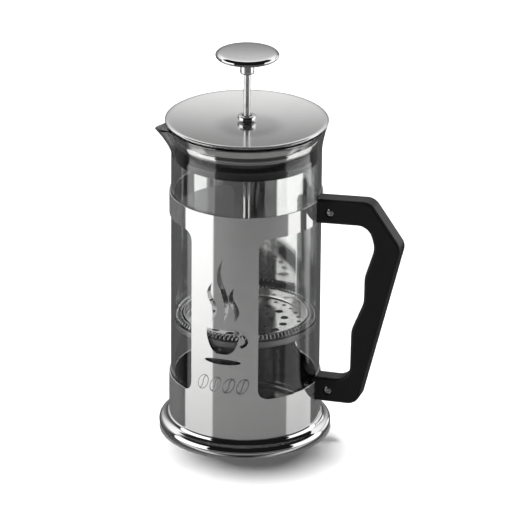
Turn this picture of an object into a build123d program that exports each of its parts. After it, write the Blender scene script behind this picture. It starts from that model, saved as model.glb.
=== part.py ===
from build123d import *
import os
from math import cos, pi, radians, sin, sqrt

# French press. Millimetres. Origin: centre of the underside, on the beaker's axis.
# +Z up, +X towards the handle, the pierced front panel faces -Y.

# Driving dimensions
GLASS_R = 46.4  # outside of the beaker
GLASS_WALL = 2.0
GLASS_FLOOR_Z = 4.6  # underside of the glass
GLASS_TOP_Z = 203.4
FLARE_Z = 186.0  # where the lip starts to flare
FLARE_OUT = 3.5  # how far the lip flares
SPOUT_AZIMUTH = -60.0  # degrees from -Y towards +X: the beaker stands turned in its frame
SPOUT_REACH = 57.6  # tip of the spout from the axis
SPOUT_ROOT_Z = 185.0

SLEEVE_R = 47.5
SLEEVE_WALL = 0.7
SLEEVE_TOP_Z = 158.5
WINDOW_Z = (37.3, 144.2)
PANEL_HALF_ANGLE = 27.0  # half the front panel's width
WINDOW_CORNER = 6.4  # height of the rounded corner
WISP_HALF = 1.9  # half of the widest part of a wisp of steam

FOOT_R = 53.7
FOOT_TOP_Z = 10.6
FOOT_BASE_R = 51.9
PLATE_SHEET = 0.8

HANDLE_THICKNESS = 12.0
HANDLE_EDGE = 1.8
ARM_SCREW_X = 55.4
ARM_SCREW_Z = (32.9, 152.0)
LUG_HEIGHT = 8.4

LID_R = 50.3
LID_RIM_Z = 205.7
LID_CENTRE_Z = 203.4
LID_SHEET = 0.8
SKIRT_R = 43.9
SKIRT_BOTTOM_Z = 181.0
CONE_Z = (193.4, 202.6)
CONE_TOP_R = 46.2
SKIRT_SHEET = 0.6
RING_INNER_R = 42.4  # inside of the splash ring
SLOT_SIZE = (1.6, 5.0)  # width and height of a pouring slot
SLOT_Z = 188.2  # its middle
SLOT_STEP = 5.2  # degrees between slots

ROD_R = 2.1
KNOB_R = 19.5
KNOB_RIM_Z = 247.0  # where it is widest
KNOB_TOP_Z = 249.0
FERRULE_R = 4.35
FERRULE_Z = (235.0, 244.6)
COLLAR_R = 5.85
COLLAR_HEIGHT = 4.0

FILTER_R = 44.0
FILTER_Z = 70.3  # underside of the mesh
FILTER_HEIGHT = 8.2  # up to the top of the coil
MESH_WALL = 4.5  # how far the mesh's edge is turned up: the coil stands on it
COIL_RING_R = 41.45
COIL_R = 1.95
COIL_WIRE_R = 0.45

GAP = 0.3  # between bodies that move past each other


def turned(*edges):
    """Full turn about Z of the closed outline that the edges make in the XZ plane."""
    return revolve(make_face(edges), axis=Axis.Z)


def at(radius, height):
    return Vector(radius, 0, height)


def ring(inner, outer, low, high):
    """Plain ring or, with an inner radius of 0, a disc."""
    return ring_of([(inner, low), (outer, low), (outer, high), (inner, high)])


def ring_of(points):
    """Full turn about Z of a closed outline with straight sides."""
    return revolve(make_face(Polyline(*[at(*p) for p in points], close=True)), axis=Axis.Z)


def chain(*points):
    """Straight edges through points of (radius, height)."""
    return Polyline(*[at(*p) for p in points]).edges()


def quarter(start, corner, end):
    """Quarter arc that rounds a square corner; the three are (radius, height)."""
    start, corner, end = at(*start), at(*corner), at(*end)
    centre = start + end - corner
    return ThreePointArc(start, centre + (corner - centre) / sqrt(2), end)


def around(azimuth):
    """Turns a shape built towards -Y to an azimuth, counted from -Y towards +X."""
    return Rot(0, 0, azimuth)


# Frame


def window_cutter():
    """Rounded window, cut along X: its corners are quarter ellipses, true arcs once on the tube."""
    low, high = WINDOW_Z
    half = SLEEVE_R * cos(radians(PANEL_HALF_ANGLE))
    wide = WINDOW_CORNER * sin(radians(PANEL_HALF_ANGLE + 4))
    tall = WINDOW_CORNER
    x, upper, lower = half - wide, high - tall, low + tall
    centres = [(x, upper), (-x, upper), (-x, lower), (x, lower)]
    corners = [
        EllipticalCenterArc(centre, wide, tall, start_angle=90 * k, arc_size=90)
        for k, centre in enumerate(centres)
    ]
    sides = [Line(corners[k] @ 1, corners[(k + 1) % 4] @ 0) for k in range(4)]
    return make_face(corners + sides)


def wisp(x, low, high, sway):
    """One wisp of steam: an S-shaped slot, widest at its middle, pointed at both ends."""
    steps = [k / 6 for k in range(7)]
    middle = [(x + sway * sin(2 * pi * t), low + (high - low) * t) for t in steps]
    half = [WISP_HALF * sin(pi * t) for t in steps]
    left = Spline(*[(m[0] - h, m[1]) for m, h in zip(middle, half)])
    right = Spline(*[(m[0] + h, m[1]) for m, h in zip(middle, half)])
    return make_face([left, right])


def cup_pattern():
    """Pierced picture of the front panel: a plain cup on a saucer with three wisps of steam."""
    bowl = make_face(
        [
            Line((-10.5, 83.5), (10.5, 83.5)),
            Spline((10.5, 83.5), (8.9, 73.5), (3.6, 67.4), tangents=[(0, -1), (-1, -0.3)]),
            Line((3.6, 67.4), (-3.6, 67.4)),
            Spline((-3.6, 67.4), (-8.9, 73.5), (-10.5, 83.5), tangents=[(-1, 0.3), (0, 1)]),
        ]
    )
    ear = Pos(11.2, 76.8) * (Circle(4.6) - Circle(2.7))
    ear -= Pos(6.7, 77.0) * Rectangle(8.2, 14)
    saucer = Pos(0, 62.3) * Ellipse(11.8, 1.9)
    steam = [wisp(-7.0, 89, 114, 1.9), wisp(0.2, 88, 131, 2.6), wisp(7.2, 89, 112, 1.9)]
    return [bowl, ear, saucer] + steam


def frame_sleeve():
    tube = ring(SLEEVE_R - SLEEVE_WALL, SLEEVE_R, 1.4, SLEEVE_TOP_Z)
    window = extrude(Plane.YZ * window_cutter(), 80, both=True)
    tube -= window
    for hole in cup_pattern():
        tube -= Pos(0, -40, 0) * extrude(Plane.XZ * hole, 20)
    return tube


def foot_ring():
    """Flared foot: a small bead at the sleeve, a hollow, a round shoulder and a wall that draws in."""
    inner = SLEEVE_R
    bead_r = SLEEVE_R + 1.0
    shoulder, edge = at(FOOT_R - 2.4, 7.4), at(FOOT_R, 4.3)
    return turned(
        Line(at(inner, 1.4), at(inner, FOOT_TOP_Z)),
        ThreePointArc(
            at(inner, FOOT_TOP_Z), at(bead_r, FOOT_TOP_Z - 0.75), at(bead_r, FOOT_TOP_Z - 1.6)
        ),
        Spline(at(bead_r, FOOT_TOP_Z - 1.6), at(49.8, 7.8), shoulder),
        Spline(shoulder, edge, tangents=[(1, 0, -0.25), (0, 0, -1)]),
        Spline(edge, at(FOOT_BASE_R, 0.2), tangents=[(0, 0, -1), (-0.5, 0, -1)]),
        *chain((FOOT_BASE_R, 0.2), (FOOT_BASE_R - 0.9, 0.2), (inner, 1.4)),
    )


def base_plate():
    """Stamped bottom with a turned-up edge, flush with the table."""
    outer, bend, edge_z = SLEEVE_R - SLEEVE_WALL, 3.0, 6.5
    inner, start = outer - PLATE_SHEET, outer - bend
    return turned(
        *chain((0, 0), (start, 0)),
        quarter((start, 0), (outer, 0), (outer, bend)),
        *chain((outer, bend), (outer, edge_z), (inner, edge_z), (inner, bend)),
        quarter((inner, bend), (inner, PLATE_SHEET), (start, PLATE_SHEET)),
        *chain((start, PLATE_SHEET), (0, PLATE_SHEET), (0, 0)),
    )


def beaker_cushion():
    """Soft ring between the base plate and the glass, clear of both."""
    return ring(26, 43, PLATE_SHEET + 0.2, GLASS_FLOOR_Z - GAP)


def handle_outline():
    """Side view in XZ. Outer side: two straight runs and a long one, rounded where they meet."""
    outer = FilletPolyline(
        at(46, 160.1), at(81.2, 162.0), at(101.2, 133.8), at(74.6, 25.8), at(46, 25.2),
        radius=[9, 8, 9],
    )
    inner = FilletPolyline(
        at(46, 144.2), at(80.0, 145.9), at(84.1, 132.0), at(77.8, 112.0), at(77.6, 95.0),
        at(69.8, 75.5), at(69.3, 41.5), at(46, 41.2),
        radius=[9, 14, 18, 16, 18, 9.5],
    )
    ends = [Line(at(46, 25.2), at(46, 41.2)), Line(at(46, 144.2), at(46, 160.1))]
    return make_face(outer.edges() + inner.edges() + ends)


def screw_place(height):
    """Frame of one handle screw: its Z runs from the handle's mid-plane out of the -Y face."""
    return Plane(origin=(ARM_SCREW_X, 0, height), x_dir=(1, 0, 0), z_dir=(0, -1, 0))


def handle():
    body = extrude(handle_outline(), HANDLE_THICKNESS / 2, both=True)
    sides = body.edges().filter_by(Axis.Y, reverse=True)
    body = fillet(sides.filter_by(lambda e: e.center().X > 47), HANDLE_EDGE)
    body -= ring(0, SLEEVE_R, 0, SLEEVE_TOP_Z + 5)
    for height in ARM_SCREW_Z:
        body -= Pos(54.5, 0, height) * Box(17, 2.2, LUG_HEIGHT + 0.4)
        hole = Cylinder(1.55, HANDLE_THICKNESS)
        head = Pos(0, 0, HANDLE_THICKNESS / 2 - 0.6) * Cylinder(2.95, 2.4)
        nut = Pos(0, 0, -HANDLE_THICKNESS / 2 + 1.0) * Cylinder(2.95, 2.2)
        body -= screw_place(height) * (hole + head + nut)
    return body


def lug(height):
    """Steel tongue welded on the sleeve, with the screw's hole; the arm's slot slides over it."""
    blade = Pos(54.0, 0, height) * Box(15, 2.0, LUG_HEIGHT)
    blade -= ring(0, SLEEVE_R, 0, SLEEVE_TOP_Z)
    return blade - screw_place(height) * Cylinder(1.6, 6)


def handle_screw(height):
    """Cross-head screw, its domed head in the counterbore of the -Y face."""
    face = HANDLE_THICKNESS / 2
    dome = Pos(0, 0, face - 1.7) * extrude(Circle(2.8), 1.6)
    dome = fillet(dome.edges().sort_by(Axis.Z)[-1], 0.9)
    cross = Box(3.4, 0.7, 1.2) + Box(0.7, 3.4, 1.2)
    shank = Pos(0, 0, (face - 1.7 - 4.4) / 2) * Cylinder(1.45, face - 1.7 + 4.4)
    return screw_place(height) * (dome + shank - Pos(0, 0, face) * cross)


def handle_nut(height):
    """Round nut in the counterbore of the +Y face, threaded on the screw."""
    face = HANDLE_THICKNESS / 2
    nut = Pos(0, 0, -face + 1.2) * Cylinder(2.8, 1.8)
    slot = Pos(0, 0, -face + 0.3) * Box(4.2, 0.7, 0.9)
    return screw_place(height) * (nut - slot - Cylinder(1.45, 2 * face - 3.2))


# Beaker


def spout(inset):
    """Pinched lip towards -Y: a wedge that grows from the wall out to the tip, past the rim."""
    base = GLASS_R - GLASS_WALL
    rise = GLASS_TOP_Z - SPOUT_ROOT_Z
    sections = []
    for share, slope in ((0.0, 1.6), (1.1, 0.8)):
        reach = GLASS_R + (SPOUT_REACH - GLASS_R) * share - inset * sqrt(1 + slope**2) / slope
        reach = max(reach, base + 0.4)
        spread = slope * (reach - base)
        face = make_face(Polyline((-spread, -base), (0, -reach), (spread, -base), close=True))
        sections.append(Pos(0, 0, SPOUT_ROOT_Z + rise * share) * face)
    wedge = loft(sections, ruled=True)
    return wedge & Pos(0, 0, GLASS_TOP_Z - 50) * Box(200, 200, 100)


def glass_body(inset):
    """Outer form of the beaker drawn in by an inset: straight wall, rounded foot, flared lip."""
    r = GLASS_R - inset
    floor = GLASS_FLOOR_Z + inset
    corner = 6.0 - inset
    lip = r + FLARE_OUT
    half_way = at(r + 0.27 * FLARE_OUT, (FLARE_Z + GLASS_TOP_Z) / 2)
    return turned(
        Line(at(0, floor), at(r - corner, floor)),
        quarter((r - corner, floor), (r, floor), (r, floor + corner)),
        Line(at(r, floor + corner), at(r, FLARE_Z)),
        ThreePointArc(at(r, FLARE_Z), half_way, at(lip, GLASS_TOP_Z)),
        *chain((lip, GLASS_TOP_Z), (0, GLASS_TOP_Z), (0, floor)),
    )


def glass_beaker():
    turn = around(SPOUT_AZIMUTH)
    return glass_body(0) + turn * spout(0) - glass_body(GLASS_WALL) - turn * spout(GLASS_WALL)


# Lid


def dish_height(radius):
    """Height of the lid's upper face: a shallow bowl that rises with the square of the radius."""
    return LID_CENTRE_Z + (LID_RIM_Z - LID_CENTRE_Z) * (radius / (LID_R - 1)) ** 2


def dish_arc(radii, drop):
    """Arc through the lid's dish at three radii, lowered by a drop."""
    return ThreePointArc(*[at(r, dish_height(r) - drop) for r in radii])


def lid_plate():
    """Shallow dish of sheet steel, lowest at its centre, whose rim rolls over to a thin edge."""
    bore, middle, roll = 3.6, 26.0, LID_R - 3
    edge_z, low = LID_RIM_Z - 0.85, LID_RIM_Z - 1.3
    return turned(
        dish_arc((bore, middle, roll), 0),
        Spline(
            at(roll, dish_height(roll)), at(LID_R - 1.2, LID_RIM_Z - 0.16), at(LID_R, edge_z),
            tangents=[(1, 0, 0.09), (0.2, 0, -1)],
        ),
        *chain((LID_R, edge_z), (LID_R - 0.4, low), (roll, dish_height(roll) - LID_SHEET)),
        dish_arc((roll, middle, bore), LID_SHEET),
        Line(at(bore, dish_height(bore) - LID_SHEET), at(bore, dish_height(bore))),
    )


def pouring_slots():
    """Nine upright slots round the spout's azimuth."""
    slot = Pos(0, -SKIRT_R, SLOT_Z) * Box(SLOT_SIZE[0], 8, SLOT_SIZE[1])
    return [around(SPOUT_AZIMUTH + SLOT_STEP * k) * slot for k in range(-4, 5)]


def lid_skirt():
    """Steel cone under the plate, its foot stepped in to carry the splash ring."""
    sheet = SKIRT_SHEET
    low, high = CONE_Z
    tube_r = RING_INNER_R - 0.05
    tube_low = SKIRT_BOTTOM_Z + 3
    brim_r = CONE_TOP_R - 8
    brim_z = [dish_height(r) - LID_SHEET - 0.1 for r in (brim_r, CONE_TOP_R)]
    outer = [(CONE_TOP_R, brim_z[1]), (CONE_TOP_R, high), (SKIRT_R, low), (tube_r, low - 0.4),
             (tube_r, tube_low)]
    inner = [(tube_r - sheet, tube_low), (tube_r - sheet, low + 0.4), (SKIRT_R - 0.5, low + 0.7),
             (CONE_TOP_R - sheet, high)]
    brim = [(CONE_TOP_R - sheet, brim_z[1] - sheet), (brim_r, brim_z[0] - sheet), (brim_r, brim_z[0])]
    return ring_of(outer + inner + brim) - pouring_slots()


def splash_ring():
    """Black ring on the skirt's foot that nearly fills the beaker; its lower edge is rounded."""
    ring_solid = ring(RING_INNER_R, SKIRT_R, SKIRT_BOTTOM_Z, CONE_Z[0] - 0.5)
    ring_solid = fillet(ring_solid.edges().sort_by(Axis.Z)[:2], 0.5)
    return ring_solid - pouring_slots()


def guide_collar():
    """Flattened chrome bead on the lid's centre."""
    low = LID_CENTRE_Z + 0.15
    high = low + COLLAR_HEIGHT
    mid = (low + high) / 2
    bore = 3.3
    return turned(
        Line(at(bore, high), at(bore, low)),
        Line(at(bore, low), at(COLLAR_R - 0.9, low)),
        ThreePointArc(at(COLLAR_R - 0.9, low), at(COLLAR_R, mid), at(COLLAR_R - 1.1, high)),
        Line(at(COLLAR_R - 1.1, high), at(bore, high)),
    )


def guide_bush():
    """Bush that the rod slides in, from under the lid to the top of the collar."""
    return ring(ROD_R + 0.05, 3.3, 197.5, LID_CENTRE_Z + 0.15 + COLLAR_HEIGHT)


def guide_nut():
    """Hexagon nut below the lid that draws the collar down on it."""
    high = LID_CENTRE_Z - LID_SHEET - 0.15
    nut = Pos(0, 0, high - 3.2) * extrude(RegularPolygon(6.4, 6), 3.2)
    return nut - ring(0, 3.3, high - 4, high + 1)


# Plunger


def plunger_rod():
    """Round rod with a collar that carries the filter stack."""
    rod = ring(0, ROD_R, FILTER_Z - 6.5, FERRULE_Z[1] - 1.4)
    return rod + ring(0, 4.2, FILTER_Z + 2.3, FILTER_Z + 4.0)


def knob_cap():
    """Thick button: nearly flat top, closely rounded rim, shallow underside."""
    crown = at(16, KNOB_TOP_Z - 0.3)
    belly = at(17.6, KNOB_RIM_Z - 1.8)
    top = ThreePointArc(at(0, KNOB_TOP_Z), at(8, KNOB_TOP_Z - 0.075), crown)
    shoulder = Spline(crown, at(KNOB_R, KNOB_RIM_Z), tangents=[(1, 0, -0.04), (0, 0, -1)])
    under = Spline(at(KNOB_R, KNOB_RIM_Z), belly, tangents=[(0, 0, -1), (-1, 0, -0.4)])
    return turned(
        top,
        shoulder,
        under,
        Line(belly, at(FERRULE_R + 0.6, FERRULE_Z[1])),
        *chain((FERRULE_R + 0.6, FERRULE_Z[1]), (0, FERRULE_Z[1]), (0, KNOB_TOP_Z)),
    )


def knob_insert():
    """Ferrule pressed under the knob, bored for the rod's end."""
    low, high = FERRULE_Z
    sleeve = ring(0, FERRULE_R, low, high)
    sleeve = chamfer(sleeve.edges().sort_by(Axis.Z)[0], 0.4)
    return sleeve - ring(0, ROD_R, low - 1, high - 1.4)


def filter_washer():
    return ring(ROD_R + 0.02, 5.2, FILTER_Z + 1.5, FILTER_Z + 2.3)


def hole_ring(radius, hole_r, count, low, high):
    """Upright round holes spaced evenly on a circle."""
    span = high - low
    return [
        Pos(radius * cos(2 * pi * k / count), radius * sin(2 * pi * k / count), low + span / 2)
        * Cylinder(hole_r, span)
        for k in range(count)
    ]


def filter_dish():
    """Perforated plate with an upturned rim that holds the coil from inside."""
    bore = ROD_R + 0.1
    outer, inner, bend = 38.6, 38.0, 37.0
    low = FILTER_Z + 0.7
    face = low + 0.8
    knee = low + 1.6
    top = FILTER_Z + FILTER_HEIGHT - 1.0
    dish = turned(
        *chain((bore, low), (bend, low)),
        quarter((bend, low), (outer, low), (outer, knee)),
        *chain((outer, knee), (outer, top), (inner, top), (inner, face + 1.0)),
        quarter((inner, face + 1.0), (inner, face), (bend, face)),
        *chain((bend, face), (bore, face), (bore, low)),
    )
    for radius, hole_r, count in ((15.8, 1.6, 15), (24.5, 2.5, 15), (33.2, 1.3, 30)):
        dish -= hole_ring(radius, hole_r, count, low - 1, low + 2)
    return dish


def filter_coil():
    """Envelope of the closed coil spring: a tube bent into a ring."""
    tube = Pos(COIL_RING_R, 0, 0) * (Circle(COIL_R) - Circle(COIL_R - 2 * COIL_WIRE_R))
    return Pos(0, 0, FILTER_Z + FILTER_HEIGHT - 2.2) * revolve(Plane.XZ * tube, axis=Axis.Z)


def filter_mesh():
    """Disc of fine woven mesh, its edge turned up round the foot of the coil."""
    wire = 0.4
    bore = ROD_R + 0.1
    bend = FILTER_R - 1.2
    inner = FILTER_R - wire
    low, knee, top = FILTER_Z, FILTER_Z + 1.2, FILTER_Z + MESH_WALL
    return turned(
        *chain((bore, low), (bend, low)),
        quarter((bend, low), (FILTER_R, low), (FILTER_R, knee)),
        *chain((FILTER_R, knee), (FILTER_R, top), (inner, top), (inner, knee)),
        quarter((inner, knee), (inner, low + wire), (bend, low + wire)),
        *chain((bend, low + wire), (bore, low + wire), (bore, low)),
    )


def cross_plate():
    """Lower plate: a hub, a rim and six broad spokes."""
    low = FILTER_Z - 1.1
    plate = ring(ROD_R + 0.1, 37.5, low, low + 1.0)
    plate = fillet(plate.edges().sort_by(Axis.Z)[0], 0.4)
    for k in range(6):
        opening = Pos(0, -19.5, low) * SlotOverall(14.0, 8.5, rotation=90)
        plate -= around(60 * k) * (Pos(0, 0, -1) * extrude(opening, 3))
    return plate - hole_ring(32.5, 1.6, 24, low - 1, low + 2)


def hub_nut():
    """Round threaded hub with two flats, screwed up the rod's end."""
    high = FILTER_Z - 1.1
    hub = ring(ROD_R, 6.2, high - 4.4, high)
    hub = chamfer(hub.edges().filter_by(GeomType.CIRCLE).sort_by(Axis.Z)[:1], 0.6)
    keep = Pos(0, 0, high - 2) * Box(14, 10.4, 8)
    return hub & keep


SOLIDS = {
    "frame_sleeve": frame_sleeve,
    "foot_ring": foot_ring,
    "base_plate": base_plate,
    "beaker_cushion": beaker_cushion,
    "handle": handle,
    "upper_lug": lambda: lug(ARM_SCREW_Z[1]),
    "lower_lug": lambda: lug(ARM_SCREW_Z[0]),
    "handle_screws": lambda: Compound(children=[handle_screw(z) for z in ARM_SCREW_Z]),
    "handle_nuts": lambda: Compound(children=[handle_nut(z) for z in ARM_SCREW_Z]),
    "glass_beaker": glass_beaker,
    "lid_plate": lid_plate,
    "lid_skirt": lid_skirt,
    "splash_ring": splash_ring,
    "guide_collar": guide_collar,
    "guide_bush": guide_bush,
    "guide_nut": guide_nut,
    "plunger_rod": plunger_rod,
    "knob_cap": knob_cap,
    "knob_insert": knob_insert,
    "filter_washer": filter_washer,
    "filter_dish": filter_dish,
    "filter_coil": filter_coil,
    "filter_mesh": filter_mesh,
    "cross_plate": cross_plate,
    "hub_nut": hub_nut,
}

os.makedirs("parts", exist_ok=True)
for name, build in SOLIDS.items():
    export_step(build(), f"parts/{name}.step")
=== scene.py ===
"""French press: the finished surfaces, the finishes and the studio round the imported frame.

Outlines and places are written in millimetres in the part's own frame (Z up along the beaker,
+X to the handle, pierced panel towards -Y), and put() turns them into metres.
"""

from math import cos, pi, radians, sin, sqrt, tau

import bmesh
import bpy
import numpy as np
from mathutils import Matrix, Vector
from mathutils.geometry import delaunay_2d_cdt


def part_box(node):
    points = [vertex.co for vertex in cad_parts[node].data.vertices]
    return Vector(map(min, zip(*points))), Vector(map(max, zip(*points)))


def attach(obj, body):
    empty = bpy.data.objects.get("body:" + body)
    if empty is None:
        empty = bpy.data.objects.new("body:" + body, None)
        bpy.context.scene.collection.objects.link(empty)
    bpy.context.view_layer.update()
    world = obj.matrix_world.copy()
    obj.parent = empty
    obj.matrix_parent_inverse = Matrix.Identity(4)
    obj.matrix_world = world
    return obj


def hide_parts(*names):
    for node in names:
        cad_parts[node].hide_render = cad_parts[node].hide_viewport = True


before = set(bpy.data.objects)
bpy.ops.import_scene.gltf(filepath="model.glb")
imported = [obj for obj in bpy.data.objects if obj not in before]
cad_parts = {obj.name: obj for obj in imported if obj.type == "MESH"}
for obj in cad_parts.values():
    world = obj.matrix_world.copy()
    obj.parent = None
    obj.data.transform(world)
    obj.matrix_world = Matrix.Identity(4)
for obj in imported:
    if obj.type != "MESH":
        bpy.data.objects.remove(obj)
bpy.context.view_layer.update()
MM = 0.001


def reach(node):
    """Radius, lowest and highest level of a turned CAD node, in millimetres."""
    low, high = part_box(node)
    return high.y / MM, low.z / MM, high.z / MM


SLEEVE_R, SLEEVE_LOW, SLEEVE_TOP = reach("frame_sleeve")
FOOT_R, FOOT_LOW, FOOT_TOP = reach("foot_ring")
CUSHION_R, CUSHION_LOW, CUSHION_TOP = reach("beaker_cushion")
LID_R = reach("lid_plate")[0]
CONE_R, CONE_LOW, _ = reach("lid_skirt")
RING_R, RING_LOW, RING_TOP = reach("splash_ring")
COLLAR_R, COLLAR_LOW, COLLAR_TOP = reach("guide_collar")
ROD_FLANGE_R, ROD_LOW, ROD_TOP = reach("plunger_rod")
KNOB_R, KNOB_LOW, KNOB_TOP = reach("knob_cap")
FERRULE_R, FERRULE_LOW, FERRULE_TOP = reach("knob_insert")
FILTER_R, FILTER_LOW, FILTER_TOP = reach("filter_mesh")
COIL_OUT, COIL_LOW, COIL_HIGH = reach("filter_coil")
_, GLASS_LOW, GLASS_TOP = reach("glass_beaker")
HANDLE_HALF = reach("handle")[0]  # half of the slab's thickness

SLEEVE_WALL = 0.7
WINDOW = (37.3, 144.2)  # lower and upper edge
PANEL_HALF = radians(27)  # half of the front or back panel
WINDOW_CORNER = 6.4
GLASS_R = 46.4
GLASS_WALL = 2.0
LIP_FOOT, LIP_OUT = 186.0, 3.5  # where the glass starts to flare, and how far
SPOUT_AZIMUTH = radians(-60)  # from -Y towards +X
SPOUT_FOOT, SPOUT_OUT = 183.0, 11.0
LID_CENTRE, LID_RIM = 203.4, 205.7  # level of the dish at its middle and near its rim
LID_SHEET = 0.8
CONE_FOOT = 193.4
RING_BORE = 42.4
SLOT_LOW, SLOT_HIGH = 185.7, 190.7  # pouring slots
SLOT_HALF = 0.8
SLOT_STEP = radians(5.2)
ROD_R = 2.1
SCREW_X, SCREW_Z = 55.4, (32.9, 152.0)
SCREW_R = 2.8
SCREW_HOLE_R, SCREW_HOLE_DEPTH = 2.95, 1.9


# Outlines: arrays of points (across, up)


def rounded(corners, radii, steps=7):
    """Chain of straight runs with its corners rounded.

    At a corner between unit directions u and v, which open an angle a, the arc starts
    radius / tan(a / 2) along each run, and its centre is radius / sin(a / 2) along u + v.
    The first and the last corner stay sharp ends.
    """
    corners = np.array(corners, float)
    points = [corners[:1]]
    for before, corner, after, radius in zip(corners, corners[1:], corners[2:], radii):
        if radius == 0:
            points.append(corner[None])
            continue
        u = (before - corner) / np.linalg.norm(before - corner)
        v = (after - corner) / np.linalg.norm(after - corner)
        opening = np.arccos(np.clip(u @ v, -1, 1))
        middle = (u + v) / np.linalg.norm(u + v)
        centre = corner + middle * radius / sin(opening / 2)
        start = corner + u * radius / np.tan(opening / 2) - centre
        side = np.sign(u[0] * v[1] - u[1] * v[0])
        turn = -side * (pi - opening) * np.linspace(0, 1, steps)
        points.append(centre + np.stack([start[0] * np.cos(turn) - start[1] * np.sin(turn),
                                         start[0] * np.sin(turn) + start[1] * np.cos(turn)], 1))
    points.append(corners[-1:])
    return np.concatenate(points)


def curve(knots, steps=8):
    """Smooth line through knots: each span is the cubic whose end slopes are half the chord
    between the neighbouring knots (at the two ends, the span itself)."""
    p = np.array(knots, float)
    slope = np.gradient(p, axis=0)
    t = np.linspace(0, 1, steps, endpoint=False)[:, None]
    spans = [
        (2 * t**3 - 3 * t**2 + 1) * a + (t**3 - 2 * t**2 + t) * da
        + (3 * t**2 - 2 * t**3) * b + (t**3 - t**2) * db
        for a, b, da, db in zip(p, p[1:], slope, slope[1:])
    ]
    return np.concatenate(spans + [p[-1:]])


def subdivide(outline, longest, closed=True):
    """The outline with points added so that no run is longer than a given length."""
    ends = np.roll(outline, -1, 0) if closed else outline[1:]
    starts = outline if closed else outline[:-1]
    runs = []
    for a, b in zip(starts, ends):
        count = max(1, int(np.ceil(np.linalg.norm(b - a) / longest)))
        runs.append(a + (b - a) * np.arange(count)[:, None] / count)
    return np.concatenate(runs if closed else runs + [outline[-1:]])


def circle(centre, radius, steps=24):
    """Points on a circle, counter-clockwise."""
    a = np.arange(steps) * tau / steps
    return np.array(centre, float) + radius * np.stack([np.cos(a), np.sin(a)], 1)


# Meshes


def grid_faces(rows, columns, close_rows=False, close_columns=False):
    """Corner numbers of every cell of a grid whose points are numbered row by row."""
    r = np.arange(rows if close_rows else rows - 1)
    c = np.arange(columns if close_columns else columns - 1)
    r, c = (a.ravel() for a in np.meshgrid(r, c, indexing="ij"))
    r1, c1 = (r + 1) % rows, (c + 1) % columns
    return np.stack([r * columns + c, r * columns + c1, r1 * columns + c1, r1 * columns + c], 1)


def placed(name, data):
    """New object in the scene."""
    thing = bpy.data.objects.new(name, data)
    bpy.context.scene.collection.objects.link(thing)
    return thing


def put(name, points, faces, body, finish, stands_for=(), sharp=32, face_out=False):
    """New piece from points in millimetres and face corner numbers, welded, smooth where its
    faces meet at less than a given angle, riding on a body."""
    points = np.asarray(points, float).reshape(-1, 3) * MM
    faces = [np.asarray(f) for f in (faces if isinstance(faces, list) else [faces])]
    sizes = np.concatenate([np.full(len(f), f.shape[1]) for f in faces])
    mesh = bpy.data.meshes.new(name)
    mesh.vertices.add(len(points))
    mesh.vertices.foreach_set("co", points.ravel())
    mesh.loops.add(int(sizes.sum()))
    mesh.loops.foreach_set("vertex_index", np.concatenate([f.ravel() for f in faces]))
    mesh.polygons.add(len(sizes))
    mesh.polygons.foreach_set("loop_start", np.concatenate([[0], np.cumsum(sizes)[:-1]]))
    mesh.update(calc_edges=True)
    shape = bmesh.new()
    shape.from_mesh(mesh)
    bmesh.ops.remove_doubles(shape, verts=shape.verts, dist=2e-7)
    if face_out:
        bmesh.ops.recalc_face_normals(shape, faces=shape.faces)
    shape.to_mesh(mesh)
    shape.free()
    mesh.shade_smooth()
    mesh.set_sharp_from_angle(angle=radians(sharp))
    piece = placed(name, mesh)
    mesh.materials.append(finish)
    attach(piece, body)
    if stands_for:
        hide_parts(*stands_for)
    return piece


def turned(outline, azimuth):
    """Grid of an outline (radius, height) turned about Z: the point at azimuth a, which counts
    from -Y towards +X, is (radius * sin a, -radius * cos a, height). The radius may be given
    for every azimuth by one column each, with the height in the last column."""
    r, z = outline[:, :-1], outline[:, -1:]
    return np.stack([r * np.sin(azimuth), -r * np.cos(azimuth), z + 0 * azimuth], 2)


def lathe(name, outline, body, finish, stands_for=(), steps=192, closed=True):
    """Outline turned about Z in even steps that start at +X. It runs counter-clockwise, so
    that the faces look out."""
    points = turned(outline, pi / 2 + np.arange(steps) * tau / steps)
    faces = grid_faces(len(outline), steps, close_rows=closed, close_columns=True)
    return put(name, points, faces, body, finish, stands_for)


def inside(points, loop):
    """Which points lie in a closed loop: from them a ray to the right crosses an odd number of
    its runs."""
    x, y = points[:, :1], points[:, 1:]
    ax, ay = loop[:, 0], loop[:, 1]
    bx, by = np.roll(loop, -1, 0).T
    spans = (ay > y) != (by > y)
    with np.errstate(divide="ignore", invalid="ignore"):
        crossing = ax + (y - ay) * (bx - ax) / (by - ay)
    return (spans & (x < crossing)).sum(1) % 2 == 1


def sheet_fill(loops, inner_points=None, stretch=1.0):
    """Triangles over the first loop less the other loops, through any inner points given.

    It is the constrained Delaunay triangulation of all the points with the loops as its
    edges, with heights divided by a stretch, keeping the triangles whose centres are inside.
    """
    points = np.concatenate(loops if inner_points is None else [*loops, inner_points])
    edges, first = [], 0
    for loop in loops:
        n = len(loop)
        edges += [(first + k, first + (k + 1) % n) for k in range(n)]
        first += n
    flat = points / (1, stretch)
    made = delaunay_2d_cdt([Vector(p) for p in flat], edges, [], 0, 1e-7, True)
    points, triangles = np.array(made[0]) * (1, stretch), np.array(made[2])
    centres = points[triangles].mean(1)
    kept = inside(centres, loops[0])
    for hole in loops[1:]:
        kept &= ~inside(centres, hole)
    return points, triangles[kept]


def open_edges(faces):
    """Runs that only one of the faces has, as pairs of corner numbers."""
    runs = np.stack([faces, np.roll(faces, -1, 1)], 2).reshape(-1, 2)
    pairs, times = np.unique(np.sort(runs, 1), axis=0, return_counts=True)
    return pairs[times == 1]


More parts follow.
